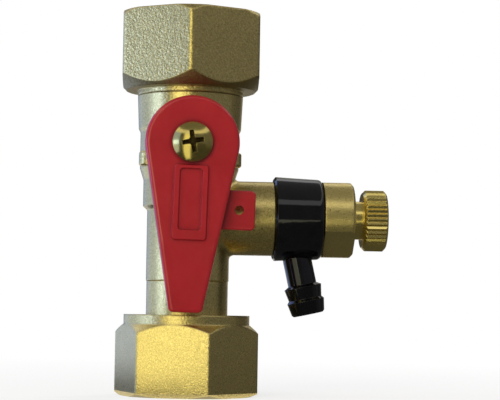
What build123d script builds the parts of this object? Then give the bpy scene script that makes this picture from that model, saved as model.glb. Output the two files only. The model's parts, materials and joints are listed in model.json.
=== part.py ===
from build123d import *
import math
import os

# Expansion vessel cap valve, in millimetres.
# The flow axis is Z, with the union nut's lower face at Z = 0.
# The drain branch points along +X and the lever faces the front, along -Y.

# Clearances
fit_gap = 0.05
axial_gap = 0.05
seat_gap = 0.05
side_gap = 0.15

# Threads of the two ends, G 3/4: the nut's has flatter crests
thread_r = 13.22
socket_thread_height = 1.16
nut_thread_height = 0.96
thread_pitch = 1.814
thread_flank = 27.5
thread_mouth = 0.45

# Union nut
nut_wall = 1.78
nut_hex_height = 16.8
nut_collar_height = 2.2
nut_collar_relief = 0.14
nut_hole_gap = 0.25
nut_pocket_gap = 0.45
nut_turn = 16.1
nut_foot_chamfer = 22.0
nut_foot_land = 0.4
nut_top_chamfer = 40.0
nut_edge_round = 0.6

# Wire ring that keeps the nut on the tailpiece
wire_r = 0.7
wire_drop = 2.4
wire_groove_gap = 0.1

# Tailpiece and gasket
tail_bore_r = 6.0
tail_exposed = 7.86
tail_relief = 0.15
tail_spigot_length = 7.0
flange_thickness = 2.8
flange_relief = 0.11
gasket_gap = 0.25
gasket_thickness = 2.0
gasket_width = 3.5
gasket_depth = 7.5

# Tube of the body
flow_bore_r = 6.5
spigot_wall = 1.9
tube_wall = 1.38
tube_length = 17.7
seam_chamfer = 0.2

# Ball, seats and chamber
ball_r = 8.8
ball_bore_r = 5.3
seat_lip = 1.2
seat_depth = 4.0
seat_bore_step = 0.2
chamber_room = 0.6
chamber_low_wall = 1.4
chamber_wall = 2.3
chamber_floor = 5.5
chamber_low_height = 6.2
chamber_cone_height = 2.7
step_height = 0.9
mouth_step = 1.0
mouth_wall = 2.1
mouth_draft = 0.35
mouth_height = 8.8
spigot_length = 4.3
body_round = 0.6

# Top socket
socket_wall = 2.78
socket_neck_height = 1.25
socket_hex_height = 18.3
socket_thread_length = 15.2
socket_turn = -1.83
socket_foot_land = 0.7
socket_foot_chamfer = 45.0
socket_top_land = 0.8
socket_top_chamfer = 41.5
socket_edge_round = 1.3

# Round seals: radius of the cord, and the groove's spare width
end_seal_r = 0.65
stem_seal_r = 0.5
collar_seal_r = 0.8
screw_seal_r = 0.6
groove_spare = 0.3
tail_seal_inset = 1.3
stem_seal_inner_inset = 1.05
stem_seal_outer_inset = 1.0

# Stem and its boss
stem_r = 4.5
stem_flange_r = 6.0
stem_flange_thickness = 1.4
stem_seat_gap = 0.1
washer_thickness = 0.7
gland_length = 3.7
boss_wall = 1.55
blade_thickness = 3.2
blade_seat_gap = 0.3
blade_depth = 2.6
tang_r = 4.0
tang_flats = 6.4
tang_setback = 0.6

# Stop ears beside the boss
ear_low = 5.0
ear_height = 3.4
ear_left = 12.05
ear_right = 11.7
ear_gap = 0.4
ear_corner_round = 2.5
ear_edge_round = 0.6

# Lever
lever_rest_turn = 1.4
lever_head_r = 10.8
lever_tip_half = 4.0
lever_tip_round = 1.3
lever_tip_gap = 0.55
lever_plate = 3.2
lever_wall = 1.8
lever_gap = 0.3
lever_hub_height = 0.4
lever_hub_wall = 2.2
lever_body_gap = 0.9
lever_bend_height = 14.8
lever_bend_round = 14.0
lever_tip_setback = 1.9
lever_edge_round = 1.0
lever_inner_round = 0.5
stop_wall = 1.6
stop_gap = 0.1

# Raised frame on the lever, round a bare sunk panel
frame_drop = 13.75
frame_width = 8.0
frame_length = 17.3
frame_height = 0.5
frame_draft = 25.0
frame_round = 0.8
panel_width = 5.3
panel_length = 14.2
panel_rise = 0.7
panel_depth = 0.45

# Sealing lug of the lever
lug_drop = 14.75
lug_height = 9.15
lug_reach = 15.25
lug_round = 1.1
lug_edge_round = 0.5
lug_bite = 0.9
lug_clear = 0.7
lug_ear_gap = 1.2
lug_hole_x = 11.5
lug_hole_r = 1.05

# Lever screw, M5 with a pan head and a cross recess
screw_r = 2.5
screw_length = 5.0
screw_head_r = 4.6
screw_head_height = 3.1
screw_head_rim = 0.9
recess_width = 1.15
recess_span = 5.2
recess_depth = 1.9
recess_round = 0.45
recess_draft = 8.0
recess_turn = 11.0

# Drain branch of the body
branch_height = 15.24
branch_r = 8.79
branch_exposed = 10.22
branch_fillet = 1.2
branch_thread_r = 5.2
branch_passage_r = 3.5

# Hose collar and its nozzle
collar_width = 11.5
collar_r = 10.0
collar_taper = 0.5
collar_lip = 0.5
collar_lip_width = 0.4
collar_end_round = 1.2
collar_groove_depth = 0.75
collar_groove_width = 4.0
nozzle_tilt = 12.5
nozzle_shift = 0.25
nozzle_r = 3.4
nozzle_bore_r = 1.8
nozzle_shank = 5.6
nozzle_tip_chamfer = 0.4
barb_r = 4.45
barb_end_r = 3.95
barb_shoulder = 0.6
barb_length = 2.8
barb_count = 2

# Drain insert: threaded shank, journal under the collar, head with two spanner flats
shank_length = 8.5
shank_spare = 0.5
journal_r = 6.4
head_length = 7.2
head_r = 8.95
head_flats = 15.5
head_turn = 50.75
head_chamfer = 0.6
drain_seat_depth = 3.0
drain_seat_r = 1.8
drain_chamber_r = 3.6
drain_thread_r = 3.5
drain_thread_length = 5.05
gland_bore_length = 5.2
cross_hole_r = 1.2
cross_hole_count = 4
cross_groove_depth = 0.8
cross_groove_width = 3.2
collar_seal_inset = 1.6

# Drain screw and its seal
drain_seal_r = 2.9
drain_seal_thickness = 1.55
nib_r = 1.2
nib_length = 0.8
drain_stem_r = 2.4
drain_shank_r = 4.55
drain_shank_exposed = 2.3
screw_seal_inset = 1.0
shank_face_gap = 0.2
knob_r = 7.27
knob_length = 5.65
knob_inner_chamfer = 0.8
knob_outer_chamfer = 0.6
knob_teeth = 40
knob_tooth_depth = 0.42
knob_dish_r = 3.6
knob_dish_depth = 0.4

# Heights along the flow axis
nut_top = nut_hex_height + nut_collar_height
flange_low = gasket_depth + gasket_thickness
flange_top = flange_low + flange_thickness
nut_shoulder = flange_top + axial_gap
seam_low = nut_top + tail_exposed
chamber_low = seam_low + tube_length
seat_back = math.sqrt(ball_r**2 - ball_bore_r**2) + seat_lip
ball_z = chamber_low + chamber_floor + seat_back
seam_high = ball_z + seat_back + spigot_length
socket_foot = seam_high + socket_neck_height
socket_top = socket_foot + socket_hex_height
branch_z = seam_low + branch_height

# Radii about the flow axis
tail_bore_in_body_r = flow_bore_r + spigot_wall
tube_r = tail_bore_in_body_r + tube_wall
tail_r = tube_r - tail_relief
gasket_r = thread_r - nut_thread_height - gasket_gap
flange_r = gasket_r - flange_relief
nut_hole_r = tail_r + nut_hole_gap
nut_flat_r = thread_r + nut_wall
nut_collar_r = nut_flat_r - nut_collar_relief
wire_ring_r = (tail_r + nut_hole_r) / 2
wire_z = nut_top - wire_drop
chamber_r = ball_r + chamber_room
chamber_low_r = chamber_r + chamber_low_wall
chamber_outer_r = chamber_r + chamber_wall
mouth_r = chamber_r + mouth_step
mouth_outer_r = mouth_r + mouth_wall
socket_flat_r = thread_r + socket_wall
seat_bore_r = ball_bore_r + seat_bore_step
blade_r = seat_back - seat_depth - blade_seat_gap

# Depths in front of the flow axis
stem_flange_in = chamber_r + stem_seat_gap
stem_flange_out = stem_flange_in + stem_flange_thickness
washer_out = stem_flange_out + washer_thickness
counterbore_end = washer_out + axial_gap
boss_end = counterbore_end + gland_length
boss_r = stem_flange_r + fit_gap + boss_wall
hub_rear = boss_end + lever_gap
plate_rear = hub_rear + lever_hub_height
lever_front = plate_rear + lever_plate
skirt_rear = mouth_outer_r + lever_body_gap
lug_rear = chamber_low_r + lug_clear
lug_front = skirt_rear + lug_bite
ear_front = skirt_rear - ear_gap
stop_rear = chamber_low_r + lever_body_gap
tip_z = nut_top + lever_tip_gap
tip_drop = ball_z - tip_z

# Places along the drain branch
neck_end = tube_r + branch_exposed
collar_start = neck_end + side_gap
collar_end = collar_start + collar_width
collar_mid = (collar_start + collar_end) / 2
head_start = collar_end + side_gap
head_end = head_start + head_length
collar_bore_r = journal_r + fit_gap
drain_seat_x = neck_end + drain_seat_depth
gland_start = head_end - gland_bore_length
drain_gland_r = drain_shank_r + fit_gap
drain_thread_start = gland_start - drain_thread_length
drain_seal_start = drain_seat_x + axial_gap
drain_seal_end = drain_seal_start + drain_seal_thickness
knob_start = head_end + drain_shank_exposed
knob_end = knob_start + knob_length


def turned(points, axis, plane):
    return revolve(plane * make_face(Polyline(*points, close=True)), axis)


def about_flow(points):
    # Points are radius and height
    return turned(points, Axis.Z, Plane.XZ)


def about_stem(points):
    # Points are radius and depth in front of the flow axis
    profile = [(radius, -depth) for radius, depth in points]
    return Pos(0, 0, ball_z) * turned(profile, Axis.Y, Plane.XY)


def about_branch(points):
    # Points are place along the branch and radius
    return Pos(0, 0, branch_z) * turned(points, Axis.X, Plane.XY)


def flow_rod(radius, low, high):
    return Pos(0, 0, (low + high) / 2) * Cylinder(radius, high - low)


def branch_rod(radius, start, end):
    return Pos((start + end) / 2, 0, branch_z) * Rot(0, 90, 0) * Cylinder(radius, end - start)


def front_plane(depth):
    # Faces the front, with its origin on the stem's axis
    return Plane((0, -depth, ball_z), x_dir=(1, 0, 0), z_dir=(0, -1, 0))


def front_slab(sketch, rear, front, draft=0.0):
    return extrude(front_plane(rear) * sketch, front - rear, taper=draft)


def seal_groove(bore, cord, middle):
    # Rectangle of a groove that holds a round seal in a bore: low, high and floor radius
    half = cord + groove_spare / 2
    return middle - half, middle + half, bore - fit_gap - 2 * cord - fit_gap


def seal_ring(bore, cord):
    return Torus(bore - fit_gap - cord, cord)


def hexagon(flat_r, turn, edge_round):
    outline = RegularPolygon(flat_r, 6, major_radius=False, rotation=turn - 90)
    return fillet(outline.vertices(), edge_round)


def chamfered_hexagon(flat_r, turn, edge_round, low, high, foot, top):
    # foot and top are the land beyond the flats and the chamfer's angle
    corner = 2 * flat_r
    foot_r = flat_r + foot[0]
    top_r = flat_r + top[0]
    foot_rise = (corner - foot_r) * math.tan(math.radians(foot[1]))
    top_fall = (corner - top_r) * math.tan(math.radians(top[1]))
    envelope = [(0, low), (foot_r, low), (corner, low + foot_rise)]
    envelope += [(corner, high - top_fall), (top_r, high), (0, high)]
    blank = extrude(Pos(0, 0, low) * hexagon(flat_r, turn, edge_round), high - low)
    return blank & about_flow(envelope)


def threaded_mouth(face, inward, depth, thread_height):
    # Bore with a chamfered mouth, and the pipe thread as rings of its section
    crest_r = thread_r - thread_height
    flank = thread_height * math.tan(math.radians(thread_flank))
    land = thread_pitch / 2 - flank
    points = [(0, 0), (thread_r + thread_mouth, 0), (thread_r, thread_mouth)]
    for ring in range(int((depth - thread_mouth) / thread_pitch)):
        crest = thread_mouth + ring * thread_pitch + flank
        points += [(crest_r, crest), (crest_r, crest + land)]
        points += [(thread_r, crest + land + flank), (thread_r, crest + 2 * land + flank)]
    points += [(thread_r, depth), (0, depth)]
    return about_flow([(radius, face + inward * place) for radius, place in points])


def make_union_nut():
    foot = (nut_foot_land, nut_foot_chamfer)
    top = (-nut_collar_relief, nut_top_chamfer)
    nut = chamfered_hexagon(nut_flat_r, nut_turn, nut_edge_round, 0, nut_hex_height, foot, top)
    nut += flow_rod(nut_collar_r, nut_hex_height - nut_collar_height, nut_top)
    nut -= threaded_mouth(0, 1, gasket_depth, nut_thread_height)
    nut -= flow_rod(gasket_r + nut_pocket_gap, gasket_depth, nut_shoulder)
    nut -= flow_rod(nut_hole_r, nut_shoulder, nut_top)
    return nut - Pos(0, 0, wire_z) * Torus(wire_ring_r, wire_r + wire_groove_gap)


def make_tailpiece():
    spigot_r = tail_bore_in_body_r - fit_gap
    spigot_top = seam_low + tail_spigot_length
    tail = flow_rod(tail_r, flange_low, seam_low)
    tail += flow_rod(flange_r, flange_low, flange_top)
    tail += flow_rod(spigot_r, seam_low, spigot_top)
    low, high, floor = seal_groove(tail_bore_in_body_r, end_seal_r, tail_seal_z)
    tail -= flow_rod(spigot_r + fit_gap, low, high) - flow_rod(floor, low, high)
    tail -= flow_rod(tail_bore_r, flange_low, spigot_top)
    return tail - Pos(0, 0, wire_z) * Torus(wire_ring_r, wire_r + fit_gap)


def make_union_gasket():
    gasket = flow_rod(gasket_r, gasket_depth, flange_low)
    return gasket - flow_rod(gasket_r - gasket_width, gasket_depth, flange_low)


def make_trunk():
    cone_low = chamber_low + chamber_low_height
    cone_high = cone_low + chamber_cone_height
    mouth_low = seam_high - mouth_height
    points = [(0, seam_low), (tube_r - seam_chamfer, seam_low), (tube_r, seam_low + seam_chamfer)]
    points += [(tube_r, chamber_low - step_height)]
    points += [(chamber_low_r, chamber_low), (chamber_low_r, cone_low), (chamber_outer_r, cone_high)]
    points += [(chamber_outer_r, mouth_low), (mouth_outer_r - mouth_draft, mouth_low + step_height)]
    points += [(mouth_outer_r, seam_high - seam_chamfer), (mouth_outer_r - seam_chamfer, seam_high)]
    points += [(0, seam_high)]
    profile = make_face(Polyline(*points, close=True))
    inset = 2 * seam_chamfer
    corners = [v for v in profile.vertices() if seam_low + inset < v.Y < seam_high - inset]
    return revolve(Plane.XZ * fillet(corners, body_round), Axis.Z)


def make_stop_ears():
    # Bar across the front of the chamber, with its front corners well rounded
    middle = Pos((ear_right - ear_left) / 2, -(chamber_r + ear_front) / 2)
    bar = middle * Rectangle(ear_left + ear_right, ear_front - chamber_r)
    bar = fillet(bar.vertices().group_by(Axis.Y)[0], ear_corner_round)
    ears = extrude(Pos(0, 0, ball_z - ear_low) * bar, ear_height)
    rims = ears.edges().group_by(Axis.Z)
    return fillet(rims[0] + rims[-1], ear_edge_round)


def make_body_bores():
    lower_shoulder = ball_z - seat_back
    bores = flow_rod(flow_bore_r, seam_low, lower_shoulder)
    bores += flow_rod(tail_bore_in_body_r, seam_low, seam_low + tail_spigot_length + axial_gap)
    bores += flow_rod(chamber_r, lower_shoulder, seam_high)
    bores += flow_rod(mouth_r, seam_high - spigot_length - axial_gap, seam_high)
    washer_bore_r = stem_flange_r + fit_gap
    stem_bore_r = stem_r + fit_gap
    bores += about_stem([(0, 0), (washer_bore_r, 0), (washer_bore_r, counterbore_end),
                         (stem_bore_r, counterbore_end), (stem_bore_r, boss_end), (0, boss_end)])
    thread_end = neck_end - shank_length - shank_spare
    bores += branch_rod(branch_passage_r, 0, thread_end)
    return bores + branch_rod(branch_thread_r, thread_end, neck_end)


def filleted_tee(trunk_r):
    # Branch on a plain trunk, with the forged fillet where they meet
    reach = branch_r + 2 * branch_fillet
    tee = flow_rod(trunk_r, branch_z - reach, branch_z + reach) + branch_rod(branch_r, 0, neck_end)
    seam = [e for e in tee.edges() if e.geom_type not in (GeomType.LINE, GeomType.CIRCLE)]
    return fillet(seam, branch_fillet)


def make_valve_body():
    body = make_trunk() + filleted_tee(tube_r)
    body += filleted_tee(chamber_low_r) & flow_rod(neck_end, chamber_low, seam_high)
    body += about_stem([(0, 0), (boss_r, 0), (boss_r, boss_end), (0, boss_end)])
    body += make_stop_ears()
    return body - make_body_bores()


def make_socket_end():
    foot = (-socket_foot_land, socket_foot_chamfer)
    top = (socket_top_land, socket_top_chamfer)
    socket = chamfered_hexagon(socket_flat_r, socket_turn, socket_edge_round, socket_foot, socket_top,
                               foot, top)
    spigot_r = mouth_r - fit_gap
    spigot_low = seam_high - spigot_length
    socket += flow_rod(mouth_outer_r, seam_high, socket_foot)
    socket += flow_rod(spigot_r, spigot_low, seam_high)
    low, high, floor = seal_groove(mouth_r, end_seal_r, socket_seal_z)
    socket -= flow_rod(spigot_r + fit_gap, low, high) - flow_rod(floor, low, high)
    socket -= threaded_mouth(socket_top, -1, socket_thread_length, socket_thread_height)
    return socket - flow_rod(flow_bore_r, spigot_low, socket_top)


def make_ball_seat(side):
    # side is 1 above the ball and -1 below it
    back = ball_z + side * seat_back
    front = back - side * seat_depth
    low, high = min(back, front), max(back, front)
    seat = flow_rod(chamber_r - fit_gap, low, high) - flow_rod(seat_bore_r, low, high)
    return seat - Pos(0, 0, ball_z) * Sphere(ball_r + seat_gap)


def make_ball():
    ball = Pos(0, 0, ball_z) * Sphere(ball_r)
    ball -= flow_rod(ball_bore_r, ball_z - ball_r, ball_z + ball_r)
    slot = Rectangle(2 * ball_r, blade_thickness + 2 * fit_gap)
    return ball - front_slab(slot, stem_flange_in - blade_depth - fit_gap, stem_flange_in)


def double_flat(radius, flats):
    return Circle(radius) & Rectangle(2 * radius, flats)


def make_stem():
    tang_end = lever_front - tang_setback
    stem = about_stem([(0, stem_flange_in), (stem_flange_r, stem_flange_in),
                       (stem_flange_r, stem_flange_out), (stem_r, stem_flange_out),
                       (stem_r, hub_rear), (0, hub_rear)])
    stem += front_slab(double_flat(tang_r, tang_flats), hub_rear, tang_end)
    blade = double_flat(blade_r, blade_thickness)
    stem += front_slab(blade, stem_flange_in - blade_depth, stem_flange_in)
    for middle in stem_seal_depths:
        low, high, floor = seal_groove(stem_r + fit_gap, stem_seal_r, middle)
        stem -= front_slab(Circle(stem_r + fit_gap) - Circle(floor), low, high)
    tapped_end = lever_front - screw_length - axial_gap
    return stem - front_slab(Circle(screw_r + fit_gap), tapped_end, tang_end)


def make_thrust_washer():
    ring = Circle(stem_flange_r) - Circle(stem_r + fit_gap)
    return front_slab(ring, stem_flange_out, washer_out)


def lever_outline(inset, corner_round):
    # Round head, straight sides and a narrow tip, moved inwards by inset
    corner_x = lever_tip_half - inset - corner_round
    corner_y = inset + corner_round - tip_drop
    corners = Locations((-corner_x, corner_y), (corner_x, corner_y))
    rounds = Sketch() + [Circle(lever_head_r - inset)] + corners * Circle(corner_round)
    return make_hull(rounds.edges())


def lever_side():
    # Side view of the lever: the front face bends back towards the body below the frame
    bend_z = tip_z + lever_bend_height
    head_top = ball_z + lever_head_r
    outline = Polyline((-skirt_rear, tip_z), (-skirt_rear, head_top), (-lever_front, head_top),
                       (-lever_front, bend_z), (lever_tip_setback - lever_front, tip_z), close=True)
    side = make_face(outline)
    bend = side.vertices().sort_by_distance((-lever_front, bend_z))[0]
    side = fillet(bend, lever_bend_round)
    return extrude(Plane.YZ * side, lever_head_r, both=True)


def front_rim(solid):
    # Edges round the faces that look more forward than sideways
    forward = math.cos(math.radians(60))
    faces = [f for f in solid.faces() if f.normal_at(f.center()).Y < -forward]
    edges = [e for f in faces for e in f.edges()]
    return [e for e in edges if sum(e.is_same(other) for other in edges) == 1]


def make_lever_shell():
    outline = lever_outline(0, lever_tip_round)
    shell = front_slab(outline, skirt_rear, lever_front) & lever_side()
    shell = fillet(front_rim(shell), lever_edge_round)
    shell -= front_slab(lever_outline(lever_wall, lever_inner_round), skirt_rear, plate_rear)
    return shell + front_slab(Circle(tang_r + lever_hub_wall), hub_rear, plate_rear)


def make_lever_stop():
    # Rib that meets an ear of the body at each end of the quarter turn
    edge = ear_low + stop_gap
    span = lever_head_r
    ring = Circle(lever_head_r - lever_wall + stop_wall / 2)
    ring -= Circle(lever_head_r - lever_wall - stop_wall / 2)
    corner = Pos(edge + span / 2, -edge - span / 2) * Rectangle(span, span)
    return front_slab(ring & corner, stop_rear, plate_rear)


def make_lug():
    inner = ear_low + lug_ear_gap
    outline = RectangleRounded(lug_reach - inner, lug_height, lug_round)
    plate = Pos((inner + lug_reach) / 2, -lug_drop) * outline
    lug = front_slab(plate, lug_rear, lug_front)
    lug = fillet(front_rim(lug), lug_edge_round)
    hole = Pos(lug_hole_x, -lug_drop) * Circle(lug_hole_r)
    return lug - front_slab(hole, lug_rear, lug_front)


def make_lever():
    lever = make_lever_shell() + make_lever_stop() + make_lug()
    raised = Pos(0, -frame_drop) * RectangleRounded(frame_width, frame_length, frame_round)
    lever += front_slab(raised, lever_front, lever_front + frame_height, frame_draft)
    sunk = Pos(0, panel_rise - frame_drop) * RectangleRounded(panel_width, panel_length, frame_round)
    panel_front = lever_front + frame_height
    lever -= extrude(front_plane(panel_front) * sunk, -panel_depth, taper=frame_draft)
    tang_hole = double_flat(tang_r + fit_gap, tang_flats + 2 * fit_gap)
    return lever - front_slab(tang_hole, hub_rear, lever_front)


def make_lever_screw():
    rim = lever_front + screw_head_rim
    crown = lever_front + screw_head_height
    tip = lever_front - screw_length
    side = Polyline((0, tip), (screw_r, tip), (screw_r, lever_front), (screw_head_r, lever_front),
                    (screw_head_r, rim))
    dome_rise = crown - rim
    dome_r = (screw_head_r**2 + dome_rise**2) / (2 * dome_rise)
    half_angle = math.asin(screw_head_r / dome_r) / 2
    shoulder = (dome_r * math.sin(half_angle), crown - dome_r * (1 - math.cos(half_angle)))
    dome = ThreePointArc((screw_head_r, rim), shoulder, (0, crown))
    profile = make_face(side + dome + Line((0, crown), (0, tip)))
    screw = Pos(0, 0, ball_z) * Rot(90, 0, 0) * revolve(Plane.XZ * profile, Axis.Z)
    cross = Rectangle(recess_span, recess_width) + Rectangle(recess_width, recess_span)
    inner = cross.vertices().filter_by(lambda v: math.hypot(v.X, v.Y) < recess_width)
    cross = Rot(0, 0, recess_turn) * fillet(inner, recess_round)
    return screw - extrude(front_plane(crown) * cross, -recess_depth, taper=recess_draft)


def make_hose_collar():
    end_r = collar_r - collar_taper
    profile = make_face(Polyline((collar_start, collar_bore_r), (collar_start, collar_r - collar_lip),
                                 (collar_start + collar_lip_width, collar_r), (collar_end, end_r),
                                 (collar_end, collar_bore_r), close=True))
    corner = profile.vertices().sort_by_distance((collar_end, end_r))[0]
    profile = fillet(corner, collar_end_round)
    ring = Pos(0, 0, branch_z) * revolve(profile, Axis.X)
    root_x = collar_mid + nozzle_shift
    root = Pos(root_x, 0, branch_z - collar_r) * Rot(0, -nozzle_tilt, 0)
    sunk = (collar_r - collar_bore_r) / 2
    steps = [(0, sunk), (nozzle_r, sunk), (nozzle_r, -nozzle_shank)]
    barb_pitch = barb_shoulder + barb_length
    for barb in range(barb_count):
        crest = -nozzle_shank - barb_shoulder - barb * barb_pitch
        steps += [(barb_r, crest), (barb_end_r, crest - barb_length)]
    nozzle_tip = -nozzle_shank - barb_count * barb_pitch - nozzle_tip_chamfer
    steps += [(barb_end_r - nozzle_tip_chamfer, nozzle_tip), (0, nozzle_tip)]
    collar = ring + root * about_flow(steps)
    groove_r = collar_bore_r + collar_groove_depth
    half_groove = collar_groove_width / 2
    collar -= branch_rod(groove_r, collar_mid - half_groove, collar_mid + half_groove)
    collar -= branch_rod(collar_bore_r, collar_start, collar_end)
    return collar - root * flow_rod(nozzle_bore_r, nozzle_tip, collar_r - collar_bore_r)


def make_drain_insert():
    shank_start = neck_end - shank_length
    shank_r = branch_thread_r - fit_gap
    insert = about_branch([(shank_start, 0), (shank_start, shank_r), (neck_end, shank_r),
                           (neck_end, journal_r), (head_start, journal_r), (head_start, head_r),
                           (head_end - head_chamfer, head_r), (head_end, head_r - head_chamfer),
                           (head_end, 0)])
    flats = Rectangle(head_flats, 2 * head_r)
    band = Plane.YZ.offset(head_start) * Rot(0, 0, head_turn) * (Circle(2 * head_r) - flats)
    insert -= Pos(0, 0, branch_z) * extrude(band, head_length)
    for middle in collar_seal_places:
        low, high, floor = seal_groove(collar_bore_r, collar_seal_r, middle)
        insert -= branch_rod(collar_bore_r, low, high) - branch_rod(floor, low, high)
    half_groove = cross_groove_width / 2
    low, high = collar_mid - half_groove, collar_mid + half_groove
    insert -= branch_rod(collar_bore_r, low, high) - branch_rod(journal_r - cross_groove_depth, low, high)
    hole = Pos(0, 0, journal_r / 2) * Cylinder(cross_hole_r, journal_r)
    for turn in range(cross_hole_count):
        insert -= Pos(collar_mid, 0, branch_z) * Rot(360 * turn / cross_hole_count, 0, 0) * hole
    insert -= branch_rod(drain_seat_r, shank_start, drain_seat_x)
    insert -= branch_rod(drain_chamber_r, drain_seat_x, drain_thread_start)
    insert -= branch_rod(drain_thread_r + fit_gap, drain_thread_start, gland_start)
    return insert - branch_rod(drain_gland_r, gland_start, head_end)


def make_drain_seal():
    seal = branch_rod(drain_seal_r, drain_seal_start, drain_seal_end)
    return seal - branch_rod(nib_r + fit_gap, drain_seal_end - nib_length - axial_gap, drain_seal_end)


def knurl_outline():
    # Straight teeth round the knob's rim
    step = 180 / knob_teeth
    radii = (knob_r, knob_r - knob_tooth_depth)
    points = []
    for index in range(2 * knob_teeth):
        angle = math.radians(index * step)
        radius = radii[index % 2]
        points.append((radius * math.cos(angle), radius * math.sin(angle)))
    return make_face(Polyline(*points, close=True))


def make_knob():
    inner_r = knob_r - knob_inner_chamfer
    outer_r = knob_r - knob_outer_chamfer
    knob = Pos(knob_start, 0, branch_z) * Rot(0, 90, 0) * extrude(knurl_outline(), knob_length)
    knob &= about_branch([(knob_start, 0), (knob_start, inner_r), (knob_start + knob_inner_chamfer, knob_r),
                          (knob_end - knob_outer_chamfer, knob_r), (knob_end, outer_r), (knob_end, 0)])
    return knob - branch_rod(knob_dish_r, knob_end - knob_dish_depth, knob_end)


def make_drain_screw():
    nib_end = drain_seal_end + axial_gap
    nib_start = nib_end - nib_length
    shank_start = gland_start + shank_face_gap
    screw = about_branch([(nib_start, 0), (nib_start, nib_r), (nib_end, nib_r),
                          (nib_end, drain_stem_r), (drain_thread_start, drain_stem_r),
                          (drain_thread_start, drain_thread_r), (shank_start, drain_thread_r),
                          (shank_start, drain_shank_r), (knob_start, drain_shank_r), (knob_start, 0)])
    screw += make_knob()
    low, high, floor = seal_groove(drain_gland_r, screw_seal_r, screw_seal_x)
    return screw - (branch_rod(drain_gland_r, low, high) - branch_rod(floor, low, high))


# Middles of the seals
tail_seal_z = seam_low + tail_seal_inset
socket_seal_z = seam_high - spigot_length / 2
stem_seal_depths = [counterbore_end + stem_seal_inner_inset, boss_end - stem_seal_outer_inset]
collar_seal_places = [neck_end + collar_seal_inset, head_start - collar_seal_inset]
screw_seal_x = gland_start + shank_face_gap + screw_seal_inset

across_stem = Pos(0, 0, ball_z) * Rot(90, 0, 0)
across_branch = Pos(0, 0, branch_z) * Rot(0, 90, 0)

fixed = {
    "valve_body": make_valve_body(),
    "socket_end": make_socket_end(),
    "socket_o_ring": Pos(0, 0, socket_seal_z) * seal_ring(mouth_r, end_seal_r),
    "upper_ball_seat": make_ball_seat(1),
    "lower_ball_seat": make_ball_seat(-1),
    "tailpiece": make_tailpiece(),
    "tail_o_ring": Pos(0, 0, tail_seal_z) * seal_ring(tail_bore_in_body_r, end_seal_r),
    "nut_retaining_ring": Pos(0, 0, wire_z) * Torus(wire_ring_r, wire_r),
    "union_gasket": make_union_gasket(),
    "union_nut": make_union_nut(),
    "drain_insert": make_drain_insert(),
    "hose_collar": make_hose_collar(),
    "drain_seal": make_drain_seal(),
    "drain_screw": make_drain_screw(),
    "screw_o_ring": Pos(screw_seal_x, 0, 0) * across_branch * seal_ring(drain_gland_r, screw_seal_r),
}
for name, place in zip(("collar_o_ring_inner", "collar_o_ring_outer"), collar_seal_places):
    fixed[name] = Pos(place, 0, 0) * across_branch * seal_ring(collar_bore_r, collar_seal_r)

turning = {
    "lever": make_lever(),
    "lever_screw": make_lever_screw(),
    "stem": make_stem(),
    "ball": make_ball(),
    "stem_thrust_washer": make_thrust_washer(),
}
for name, depth in zip(("stem_o_ring_inner", "stem_o_ring_outer"), stem_seal_depths):
    turning[name] = Pos(0, -depth, 0) * across_stem * seal_ring(stem_r + fit_gap, stem_seal_r)

# The lever stands a little towards closed, with the stem and ball turned with it
stem_axis = Axis((0, 0, ball_z), (0, 1, 0))
pieces = fixed | {name: piece.rotate(stem_axis, lever_rest_turn) for name, piece in turning.items()}

os.makedirs("parts", exist_ok=True)
for name, piece in pieces.items():
    export_step(piece, f"parts/{name}.step")
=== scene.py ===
import json
import math

import bpy
from mathutils import Matrix, Vector

# Looks of an expansion vessel cap valve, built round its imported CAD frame. Lengths are in metres.
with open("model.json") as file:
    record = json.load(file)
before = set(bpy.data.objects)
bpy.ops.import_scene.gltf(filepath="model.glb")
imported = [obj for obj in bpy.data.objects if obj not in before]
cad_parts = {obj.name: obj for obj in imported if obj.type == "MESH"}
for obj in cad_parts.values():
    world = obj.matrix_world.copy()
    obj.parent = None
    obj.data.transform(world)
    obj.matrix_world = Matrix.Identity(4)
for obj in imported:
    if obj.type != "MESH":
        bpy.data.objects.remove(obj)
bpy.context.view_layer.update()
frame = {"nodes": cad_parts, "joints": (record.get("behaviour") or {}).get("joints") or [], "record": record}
nodes = frame["nodes"]
MM = 0.001

# Camera, as the photograph was taken: a little below the middle, looking up and to the right
CAMERA_PLACE = Vector((-14.9, -418.9, 20.32)) * MM
CAMERA_PAN = math.radians(4.027)
CAMERA_TILT = math.radians(3.573)
CAMERA_ROLL = math.radians(0.915)
CAMERA_LENS = 127.3
CAMERA_CLIP = 0.01
SENSOR_WIDTH = 36.0

# Axis of the drain branch, from the hose collar's joint
collar_joint = next(joint for joint in frame["joints"] if joint["name"] == "collar_swivel")
branch_z = collar_joint["pos_m"][2]

# Where most values of a noise lie
NOISE_LOW, NOISE_HIGH = 0.3, 0.7
# Sockets of the colour mix node: factor, first and second colour, result
MIX_FACTOR, MIX_FIRST, MIX_SECOND, MIX_RESULT = 0, 6, 7, 2
OCCLUSION_SAMPLES = 8
BEVEL_SAMPLES = 6
# Difference between edge and face normals at which an edge is in full
EDGE_REACH = 0.12
# Rise of the normal where a face starts to look down, and where it does in full, for the painted shade on
# undersides
DOWN_START, DOWN_FULL = -0.4, -0.7
WHITE = (1, 1, 1, 1)


# Node helpers
def put(tree, socket, value):
    if isinstance(value, bpy.types.NodeSocket):
        tree.links.new(value, socket)
    else:
        socket.default_value = value


def add(tree, kind, inputs=None, **settings):
    made = tree.nodes.new("ShaderNode" + kind)
    for name, value in settings.items():
        setattr(made, name, value)
    for name, value in (inputs or {}).items():
        put(tree, made.inputs[name], value)
    return made


def object_place(tree):
    return add(tree, "TexCoord").outputs["Object"]


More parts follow.
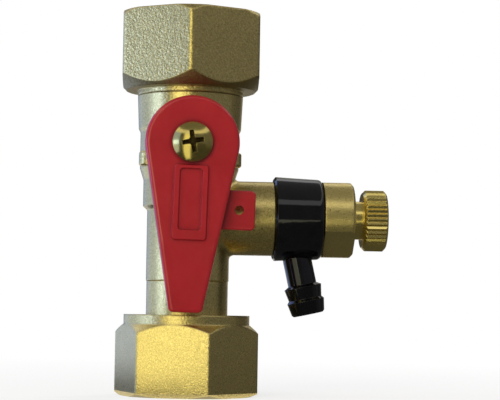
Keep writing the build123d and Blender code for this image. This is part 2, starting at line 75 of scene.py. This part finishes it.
def noise(tree, size, detail=2.0, place=None):
    # Grains are about size across, and the value runs from 0 to 1
    inputs = {"Vector": place or object_place(tree), "Scale": 1 / size, "Detail": detail}
    return add(tree, "TexNoise", inputs).outputs[0]


def span(tree, value, from_low, from_high, low, high):
    inputs = {
        "Value": value, "From Min": from_low, "From Max": from_high, "To Min": low, "To Max": high,
    }
    return add(tree, "MapRange", inputs).outputs[0]


def noise_span(tree, value, low, high):
    return span(tree, value, NOISE_LOW, NOISE_HIGH, low, high)


def ramp(tree, value, low_colour, high_colour, low=NOISE_LOW, high=NOISE_HIGH):
    made = add(tree, "ValToRGB", {"Fac": value})
    ends = made.color_ramp.elements
    for end, place, colour in zip(ends, (low, high), (low_colour, high_colour)):
        end.position = place
        end.color = (*colour, 1)
    return made.outputs["Color"]


def blend(tree, factor, first, second):
    made = add(tree, "Mix", data_type="RGBA")
    for socket, value in ((MIX_FACTOR, factor), (MIX_FIRST, first), (MIX_SECOND, second)):
        put(tree, made.inputs[socket], value)
    return made.outputs[MIX_RESULT]


def bump(tree, height, depth, normal=None):
    inputs = {"Height": height, "Distance": depth, "Strength": 1.0}
    if normal:
        inputs["Normal"] = normal
    return add(tree, "Bump", inputs).outputs["Normal"]


def cells(tree, size):
    # Distance to the middle of the nearest dimple, 0 to about 1
    inputs = {"Vector": object_place(tree), "Scale": 1 / size}
    return add(tree, "TexVoronoi", inputs, feature="SMOOTH_F1").outputs["Distance"]


def openness(tree, reach, closed, open_):
    # 0 deep in a recess, 1 on open faces; it sets where shade is painted
    shade = add(tree, "AmbientOcclusion", {"Distance": reach}, samples=OCCLUSION_SAMPLES)
    return span(tree, shade.outputs["AO"], closed, open_, 0.0, 1.0)


def rounded(tree, radius):
    # Normal of edges that are a little rounded
    return add(tree, "Bevel", {"Radius": radius}, samples=BEVEL_SAMPLES).outputs["Normal"]


def edge_share(tree, edge_normal):
    # 1 on rounded edges, 0 on faces
    face_normal = add(tree, "NewGeometry").outputs["Normal"]
    dot = add(tree, "VectorMath", {0: edge_normal, 1: face_normal}, operation="DOT_PRODUCT")
    return span(tree, dot.outputs["Value"], 1.0, 1.0 - EDGE_REACH, 0.0, 1.0)


def painted_shade_facing_down(tree, most):
    # Share of painted shade: up to most on chamfers and faces that look down, 0 on upright faces
    normal = add(tree, "NewGeometry").outputs["Normal"]
    rise = add(tree, "SeparateXYZ", {"Vector": normal}).outputs["Z"]
    return span(tree, rise, DOWN_START, DOWN_FULL, 0.0, most)


def turned_place(tree):
    # Place along the drain branch and distance from its axis, for marks left by turning
    inputs = {0: object_place(tree), 1: (0, 0, branch_z)}
    place = add(tree, "VectorMath", inputs, operation="SUBTRACT")
    along = add(tree, "SeparateXYZ", {"Vector": place.outputs[0]}).outputs["X"]
    across = add(tree, "VectorMath", {0: place.outputs[0], 1: (0, 1, 1)}, operation="MULTIPLY")
    radius = add(tree, "VectorMath", {0: across.outputs[0]}, operation="LENGTH").outputs["Value"]
    return add(tree, "CombineXYZ", {"X": along, "Y": radius}).outputs[0]


def new_material(name):
    material = bpy.data.materials.new(name)
    material.use_nodes = True
    return material, material.node_tree, material.node_tree.nodes["Principled BSDF"]


def dress(tree, shader, colour, roughness, normal=None, metallic=0.0):
    put(tree, shader.inputs["Base Color"], colour)
    put(tree, shader.inputs["Roughness"], roughness)
    shader.inputs["Metallic"].default_value = metallic
    if normal:
        put(tree, shader.inputs["Normal"], normal)


# Blasted brass: fine flecks over wide clouds, lighter worn edges, and painted shade that darkens faces
# looking down
FLECK_DULL, FLECK_BRIGHT = (0.38, 0.30, 0.10), (0.88, 0.69, 0.28)
CLOUD_LOW, CLOUD_HIGH = (0.55, 0.44, 0.16), (0.66, 0.52, 0.18)
BRASS_WORN = (0.74, 0.60, 0.24, 1)
# Dark brass of the painted shade on faces that look down
BRASS_PAINTED_SHADE = (0.2, 0.16, 0.08, 1)
# No brass throws back more than this share of the light
BRASS_MOST = 0.96
FLECK_LOW, FLECK_HIGH = 0.32, 0.68
# Size of flecks and depth of dimples, as shares of the grain's
FLECK_SHARE = 0.8
DIMPLE_SHARE = 0.25
CLOUD_SIZE = 9 * MM
WORN_MOST = 0.6
BLASTED_ROUGH_LOW, BLASTED_ROUGH_HIGH = 0.26, 0.38
# Roughness that undersides have more
BELOW_ROUGH = 0.2


def brass_colour(colour, gain):
    return tuple(min(gain, BRASS_MOST / max(colour)) * share for share in colour)


def blasted_brass(
    name, grain_size, grain_depth, edge_round, painted_shade_below=0.0, gain=1.25, speckle=0.5
):
    material, tree, shader = new_material(name)
    grain = noise(tree, grain_size, detail=2.5)
    flecks = noise(tree, FLECK_SHARE * grain_size, detail=1.0)
    clouds = noise(tree, CLOUD_SIZE)
    edge_normal = rounded(tree, edge_round)
    edge = edge_share(tree, edge_normal)
    dull, bright = brass_colour(FLECK_DULL, gain), brass_colour(FLECK_BRIGHT, gain)
    low, high = brass_colour(CLOUD_LOW, gain), brass_colour(CLOUD_HIGH, gain)
    fine = ramp(tree, flecks, dull, bright, FLECK_LOW, FLECK_HIGH)
    cloudy = ramp(tree, clouds, low, high)
    surface = blend(tree, speckle, cloudy, fine)
    worn = blend(tree, span(tree, edge, 0.0, 1.0, 0.0, WORN_MOST), surface, BRASS_WORN)
    # Painted shade: faces that look down are blended towards a dark brass
    below = painted_shade_facing_down(tree, painted_shade_below)
    colour = blend(tree, below, worn, BRASS_PAINTED_SHADE)
    matt = noise_span(tree, grain, BLASTED_ROUGH_LOW, BLASTED_ROUGH_HIGH)
    inputs = {0: below, 1: BELOW_ROUGH, 2: matt}
    rough = add(tree, "Math", inputs, operation="MULTIPLY_ADD").outputs[0]
    dimples = bump(tree, cells(tree, grain_size), DIMPLE_SHARE * grain_depth, edge_normal)
    dress(tree, shader, colour, rough, bump(tree, grain, grain_depth, dimples), metallic=1.0)
    return material


# Fine edges and marks of the turned and plated pieces
FINE_EDGE = 0.15 * MM
FINE_DEPTH = 0.004 * MM

# Turned brass, with marks that run round the drain branch
TURNED_LOW, TURNED_HIGH = (0.83, 0.65, 0.18), (0.92, 0.73, 0.24)
TURNED_EDGE = (0.94, 0.76, 0.28, 1)
TURNED_ROUGH_LOW, TURNED_ROUGH_HIGH = 0.16, 0.28
TURNING_MARK = 0.12 * MM
TURNED_MOTTLE = 5 * MM


def turned_brass():
    material, tree, shader = new_material("turned_brass")
    marks = noise(tree, TURNING_MARK, place=turned_place(tree))
    mottle = noise(tree, TURNED_MOTTLE)
    edge_normal = rounded(tree, FINE_EDGE)
    edge = edge_share(tree, edge_normal)
    surface = ramp(tree, mottle, TURNED_LOW, TURNED_HIGH)
    colour = blend(tree, edge, surface, TURNED_EDGE)
    rough = noise_span(tree, marks, TURNED_ROUGH_LOW, TURNED_ROUGH_HIGH)
    dress(tree, shader, colour, rough, bump(tree, marks, FINE_DEPTH, edge_normal), metallic=1.0)
    return material


# Yellow plating of the lever's screw, with painted shade inside the cross recess
PLATING_LOW, PLATING_HIGH = (0.52, 0.42, 0.13), (0.66, 0.51, 0.14)
RECESS_PAINTED_SHADE = (0.08, 0.05, 0.015, 1)
RECESS_REACH = 2.5 * MM
RECESS_CLOSED, RECESS_OPEN = 0.5, 0.95
PLATING_ROUGH_LOW, PLATING_ROUGH_HIGH = 0.14, 0.24
PLATING_FILM = 1.8 * MM
PLATING_GRAIN = 0.25 * MM


def plated_screw():
    material, tree, shader = new_material("plated_screw")
    film = noise(tree, PLATING_FILM)
    fine = noise(tree, PLATING_GRAIN)
    bright = ramp(tree, film, PLATING_LOW, PLATING_HIGH)
    # Painted shade: the plating turns dark brown where the recess closes in
    open_share = openness(tree, RECESS_REACH, RECESS_CLOSED, RECESS_OPEN)
    colour = blend(tree, open_share, RECESS_PAINTED_SHADE, bright)
    rough = noise_span(tree, fine, PLATING_ROUGH_LOW, PLATING_ROUGH_HIGH)
    normal = bump(tree, fine, FINE_DEPTH, rounded(tree, FINE_EDGE))
    dress(tree, shader, colour, rough, normal, metallic=1.0)
    return material


# Glossy red paint of the lever, with painted shade beside its raised frame
PAINT_LOW, PAINT_HIGH = (0.28, 0.009, 0.012), (0.32, 0.012, 0.016)
# Dark red of the painted shade in the crevices round the frame
CREVICE_PAINTED_SHADE = (0.14, 0.003, 0.006, 1)
CREVICE_REACH = 1.2 * MM
CREVICE_CLOSED, CREVICE_OPEN = 0.5, 0.97
PAINT_ROUGH_LOW, PAINT_ROUGH_HIGH = 0.2, 0.27
PAINT_SPECULAR = 0.25
PAINT_COAT = 0.6
PAINT_COAT_ROUGH = 0.05
PEEL_SIZE = 1.5 * MM
PEEL_DEPTH = 0.008 * MM
PAINT_CLOUD = 7 * MM
PAINT_EDGE = 0.2 * MM


def red_paint():
    material, tree, shader = new_material("red_paint")
    peel = noise(tree, PEEL_SIZE, detail=1.0)
    thickness = noise(tree, PAINT_CLOUD)
    paint = ramp(tree, thickness, PAINT_LOW, PAINT_HIGH)
    # Painted shade: the red turns darker in the crevices round the raised frame
    open_share = openness(tree, CREVICE_REACH, CREVICE_CLOSED, CREVICE_OPEN)
    colour = blend(tree, open_share, CREVICE_PAINTED_SHADE, paint)
    rough = noise_span(tree, peel, PAINT_ROUGH_LOW, PAINT_ROUGH_HIGH)
    dress(tree, shader, colour, rough, bump(tree, peel, PEEL_DEPTH, rounded(tree, PAINT_EDGE)))
    shader.inputs["Specular IOR Level"].default_value = PAINT_SPECULAR
    shader.inputs["Coat Weight"].default_value = PAINT_COAT
    shader.inputs["Coat Roughness"].default_value = PAINT_COAT_ROUGH
    return material


# Glossy black moulding of the hose collar
MOULDING_LOW, MOULDING_HIGH = (0.001, 0.001, 0.0015), (0.0025, 0.0025, 0.003)
MOULDING_ROUGH_LOW, MOULDING_ROUGH_HIGH = 0.06, 0.1
MOULDING_FLOW = 3 * MM
MOULDING_FLOW_DEPTH = 0.02 * MM
MOULDING_GRAIN = 0.4 * MM


def black_plastic():
    material, tree, shader = new_material("black_plastic")
    flow = noise(tree, MOULDING_FLOW)
    fine = noise(tree, MOULDING_GRAIN)
    colour = ramp(tree, flow, MOULDING_LOW, MOULDING_HIGH)
    rough = noise_span(tree, fine, MOULDING_ROUGH_LOW, MOULDING_ROUGH_HIGH)
    normal = bump(tree, flow, MOULDING_FLOW_DEPTH, rounded(tree, FINE_EDGE))
    dress(tree, shader, colour, rough, normal)
    return material


def grey(level):
    return (level, level, level)


def dull_solid(name, low_colour, high_colour, grain_size, rough_low, rough_high, depth):
    # Rubber, seat plastic and pressed fibre
    material, tree, shader = new_material(name)
    grain = noise(tree, grain_size, detail=3.0)
    colour = ramp(tree, grain, low_colour, high_colour)
    rough = noise_span(tree, grain, rough_low, rough_high)
    dress(tree, shader, colour, rough, bump(tree, grain, depth))
    return material


def bright_metal(name, low_colour, high_colour, grain_size, rough_low, rough_high):
    # Spring wire and the plated ball
    material, tree, shader = new_material(name)
    grain = noise(tree, grain_size)
    colour = ramp(tree, grain, low_colour, high_colour)
    dress(tree, shader, colour, noise_span(tree, grain, rough_low, rough_high), metallic=1.0)
    return material


# Materials, one for each slot of the record
materials = {
    "blasted_brass": blasted_brass(
        "blasted_brass", grain_size=0.45 * MM, grain_depth=0.05 * MM, edge_round=0.3 * MM
    ),
    "turned_brass": turned_brass(),
    "plated_screw": plated_screw(),
    "red_paint": red_paint(),
    "black_plastic": black_plastic(),
    "black_rubber": dull_solid(
        "black_rubber", grey(0.02), grey(0.035),
        grain_size=0.4 * MM, rough_low=0.6, rough_high=0.7, depth=0.01 * MM,
    ),
    "seat_plastic": dull_solid(
        "seat_plastic", (0.80, 0.80, 0.77), (0.86, 0.86, 0.83),
        grain_size=0.8 * MM, rough_low=0.4, rough_high=0.5, depth=0.005 * MM,
    ),
    "fibre": dull_solid(
        "fibre", (0.08, 0.15, 0.13), (0.13, 0.21, 0.18),
        grain_size=0.5 * MM, rough_low=0.75, rough_high=0.85, depth=0.03 * MM,
    ),
    "bright_steel": bright_metal(
        "bright_steel", (0.52, 0.52, 0.50), (0.64, 0.64, 0.62),
        grain_size=0.3 * MM, rough_low=0.22, rough_high=0.28,
    ),
    "polished_ball": bright_metal(
        "polished_ball", grey(0.70), grey(0.78),
        grain_size=2 * MM, rough_low=0.04, rough_high=0.1,
    ),
}
for subpart in frame["record"]["subparts"]:
    mesh = nodes[subpart["node"]].data
    mesh.materials.clear()
    mesh.materials.append(materials[subpart["material_slot"]])

# The same brass with the blast of each casting, and painted shade on its undersides where given
castings = {
    "socket_end": blasted_brass(
        "blasted_socket", grain_size=0.55 * MM, grain_depth=0.10 * MM, edge_round=0.7 * MM,
        painted_shade_below=0.75,
    ),
    "union_nut": blasted_brass(
        "blasted_nut", grain_size=0.32 * MM, grain_depth=0.06 * MM, edge_round=0.7 * MM,
        painted_shade_below=0.6, gain=1.4, speckle=0.7,
    ),
    "drain_insert": blasted_brass(
        "blasted_insert", grain_size=0.45 * MM, grain_depth=0.03 * MM, edge_round=0.3 * MM,
        gain=1.5, speckle=0.2,
    ),
}
for node, material in castings.items():
    nodes[node].data.materials[0] = material

# Studio: white surroundings, a pale floor, three soft lamps, and cards for the metal to mirror
FILL_COLOUR = (1, 0.99, 0.97, 1)
FILL_STRENGTH = 0.45

# Floor that whitens from near the object outwards
FLOOR_HALF = 6.0
FLOOR_LOW, FLOOR_HIGH = grey(0.84), grey(0.86)
FLOOR_GRAIN = 40 * MM
FLOOR_ROUGH = 0.9
WHITENS_FROM, WHITENS_TO = 0.03, 0.3
WHITE_SHARE_NEAR = 0.7

# Lamps: name, place, size, colour, watts. They light the paint, the plastic and the floor.
LAMP_AIM = Vector((0, 0, 0.045))
LAMPS = (
    ("front_lamp", (-0.35, -0.95, 0.45), 0.6, (1.0, 0.94, 0.84), 6.5),
    ("left_lamp", (-0.85, -0.15, 0.4), 0.6, (0.75, 0.86, 1.0), 3.5),
    ("back_lamp", (0.55, 0.75, 0.5), 0.5, (1.0, 0.96, 0.9), 4.0),
)

# Forms of the cards, as radius and height of their two rims
CARD_RADIUS = 0.6
CARD_TOP = 0.5
CARD_SPLIT = 0.15
WINDOW_RADIUS = 0.59
WALL = ((CARD_RADIUS, CARD_TOP), (CARD_RADIUS, 0.0))
LOW_WALL = ((CARD_RADIUS, CARD_SPLIT), (CARD_RADIUS, 0.0))
HIGH_WALL = ((CARD_RADIUS, CARD_TOP), (CARD_RADIUS, CARD_SPLIT))
WINDOW = ((WINDOW_RADIUS, CARD_SPLIT), (WINDOW_RADIUS, 0.0))
UNDER_ALL = ((0.0, 0.001), (CARD_RADIUS, 0.001))
OVER_ALL = ((0.0, 0.6), (0.45, 0.6))
CARD_STEPS = 24
CIRCLE_STEPS = 48
CIRCLE = (-180, 180)


def floor_band(inner):
    outer, height = 0.59, 0.002
    return (inner, height), (outer, height)


# Cards: name, material, azimuths in degrees from the camera's side and positive to the right,
# form, colour, strength
COOL = (0.36, 0.49, 1.0)
COOL_WINDOW = (0.34, 0.48, 1.0)
COOL_FLOOR = (0.48, 0.6, 1.0)
WARM = (1.0, 0.98, 0.68)
BACK = (1.0, 0.97, 0.9)
CARDS = (
    # Cool panel on the left, with a brighter window low down
    ("cool_panel", "cool_light", (-160, -61), WALL, COOL, 1.25),
    ("window", "window_light", (-92, -64), WINDOW, COOL_WINDOW, 4.8),
    # Dark gap, and the warm card that the nut's front mirrors
    ("gap_card", "gap_felt", (-61, -39), WALL, grey(0.1), 1.0),
    ("warm_card", "warm_light", (-39, -9), LOW_WALL, WARM, 2.3),
    ("warm_high_card", "warm_high_light", (-39, -9), HIGH_WALL, WARM, 1.2),
    # Dark felt in front, on the right and behind, with a pale card between
    ("near_card", "near_felt", (-9, 18), WALL, (0.12, 0.12, 0.115), 1.0),
    ("dark_card", "dark_felt", (18, 100), WALL, (0.16, 0.165, 0.195), 1.0),
    ("deep_card", "deep_felt", (100, 150), WALL, grey(0.08), 1.0),
    ("back_card", "back_light", (150, 172), WALL, BACK, 0.4),
    ("rear_card", "rear_felt", (172, 200), WALL, grey(0.06), 1.0),
    # Bands on the floor, which views from above mirror
    ("warm_floor", "warm_floor_light", (-40, -9), floor_band(0.03), WARM, 1.15),
    ("front_floor", "front_floor_light", (6, 16), floor_band(0.15), WARM, 1.2),
    ("cool_floor", "cool_floor_light", (-160, -61), floor_band(0.09), COOL_FLOOR, 1.35),
    ("side_floor", "side_floor_light", (60, 150), floor_band(0.2), (0.12, 0.12, 0.11), 1.0),
    ("back_floor", "back_floor_light", (150, 200), floor_band(0.12), BACK, 0.7),
    # Dark felt under everything and dimmer felt above
    ("low_card", "low_felt", CIRCLE, UNDER_ALL, (0.07, 0.07, 0.066), 1.0),
    ("high_card", "high_felt", CIRCLE, OVER_ALL, grey(0.2), 1.0),
)


def seen_ray(tree):
    # 1 for rays that show the background: seen directly, in gloss or through glass
    path = add(tree, "LightPath").outputs
    inputs = {0: path["Is Camera Ray"], 1: path["Is Glossy Ray"]}
    first = add(tree, "Math", inputs, operation="MAXIMUM").outputs[0]
    inputs = {0: first, 1: path["Is Transmission Ray"]}
    return add(tree, "Math", inputs, operation="MAXIMUM").outputs[0]


def make_world():
    world = bpy.data.worlds.new("studio")
    world.use_nodes = True
    bpy.context.scene.world = world
    tree = world.node_tree
    fill = add(tree, "Background", {"Color": FILL_COLOUR, "Strength": FILL_STRENGTH})
    white = add(tree, "Background", {"Color": WHITE, "Strength": 1.0})
    inputs = {0: seen_ray(tree), 1: fill.outputs[0], 2: white.outputs[0]}
    mixed = add(tree, "MixShader", inputs)
    put(tree, tree.nodes["World Output"].inputs["Surface"], mixed.outputs[0])


def stage_mesh(name, points, faces, material):
    data = bpy.data.meshes.new(name)
    data.from_pydata(points, [], faces)
    data.materials.append(material)
    made = bpy.data.objects.new(name, data)
    bpy.context.scene.collection.objects.link(made)
    return made


def floor_material():
    # Pale floor that whitens away from the object and keeps its shadow
    material, tree, shader = new_material("floor")
    grain = noise(tree, FLOOR_GRAIN)
    dress(tree, shader, ramp(tree, grain, FLOOR_LOW, FLOOR_HIGH), FLOOR_ROUGH)
    shader.inputs["Specular IOR Level"].default_value = 0.0
    away = add(tree, "VectorMath", {0: object_place(tree)}, operation="LENGTH").outputs["Value"]
    share = span(tree, away, WHITENS_FROM, WHITENS_TO, WHITE_SHARE_NEAR, 1.0)
    seen = add(tree, "Math", {0: share, 1: seen_ray(tree)}, operation="MULTIPLY").outputs[0]
    white = add(tree, "Emission", {"Color": WHITE, "Strength": 1.0})
    mixed = add(tree, "MixShader", {0: seen, 1: shader.outputs[0], 2: white.outputs[0]})
    put(tree, tree.nodes["Material Output"].inputs["Surface"], mixed.outputs[0])
    return material


def make_floor():
    half = FLOOR_HALF
    corners = [(-half, -half, 0), (half, -half, 0), (half, half, 0), (-half, half, 0)]
    stage_mesh("floor", corners, [(0, 1, 2, 3)], floor_material())


def glow(name, colour, strength):
    material, tree, _ = new_material(name)
    light = add(tree, "Emission", {"Color": (*colour, 1), "Strength": strength})
    put(tree, tree.nodes["Material Output"].inputs["Surface"], light.outputs[0])
    return material


def make_card(name, azimuths, rims, material):
    # Band round the object between two rims, which only reflections see
    start, end = azimuths
    steps = CIRCLE_STEPS if azimuths == CIRCLE else CARD_STEPS
    points = []
    for step in range(steps + 1):
        azimuth = math.radians(start + (end - start) * step / steps)
        for radius, height in rims:
            points.append((radius * math.sin(azimuth), -radius * math.cos(azimuth), height))
    faces = [(2 * i, 2 * i + 1, 2 * i + 3, 2 * i + 2) for i in range(steps)]
    made = stage_mesh(name, points, faces, material)
    made.visible_camera = False
    made.visible_diffuse = False
    made.visible_shadow = False
    made.visible_transmission = False


def make_lamp(name, place, size, colour, watts):
    data = bpy.data.lights.new(name, "AREA")
    data.shape = "SQUARE"
    data.size = size
    data.color = colour
    data.energy = watts
    made = bpy.data.objects.new(name, data)
    made.location = place
    aim = LAMP_AIM - Vector(place)
    made.rotation_euler = aim.to_track_quat("-Z", "Y").to_euler()
    made.visible_camera = False
    made.visible_glossy = False
    bpy.context.scene.collection.objects.link(made)


def make_camera():
    pan, tilt, roll = CAMERA_PAN, CAMERA_TILT, CAMERA_ROLL
    level = math.cos(tilt)
    ahead = Vector((math.sin(pan) * level, math.cos(pan) * level, math.sin(tilt)))
    flat_right = Vector((math.cos(pan), -math.sin(pan), 0))
    flat_up = flat_right.cross(ahead)
    right = math.cos(roll) * flat_right + math.sin(roll) * flat_up
    up = math.cos(roll) * flat_up - math.sin(roll) * flat_right
    data = bpy.data.cameras.new("camera")
    data.lens = CAMERA_LENS
    data.sensor_width = SENSOR_WIDTH
    data.clip_start = CAMERA_CLIP
    camera = bpy.data.objects.new("camera", data)
    turn = Matrix((right, up, -ahead)).transposed().to_4x4()
    camera.matrix_world = Matrix.Translation(CAMERA_PLACE) @ turn
    bpy.context.scene.collection.objects.link(camera)
    bpy.context.scene.camera = camera


make_world()
make_floor()
for name, look, azimuths, rims, colour, strength in CARDS:
    make_card(name, azimuths, rims, glow(look, colour, strength))
for lamp in LAMPS:
    make_lamp(*lamp)
make_camera()
bpy.context.scene.view_settings.view_transform = "Standard"
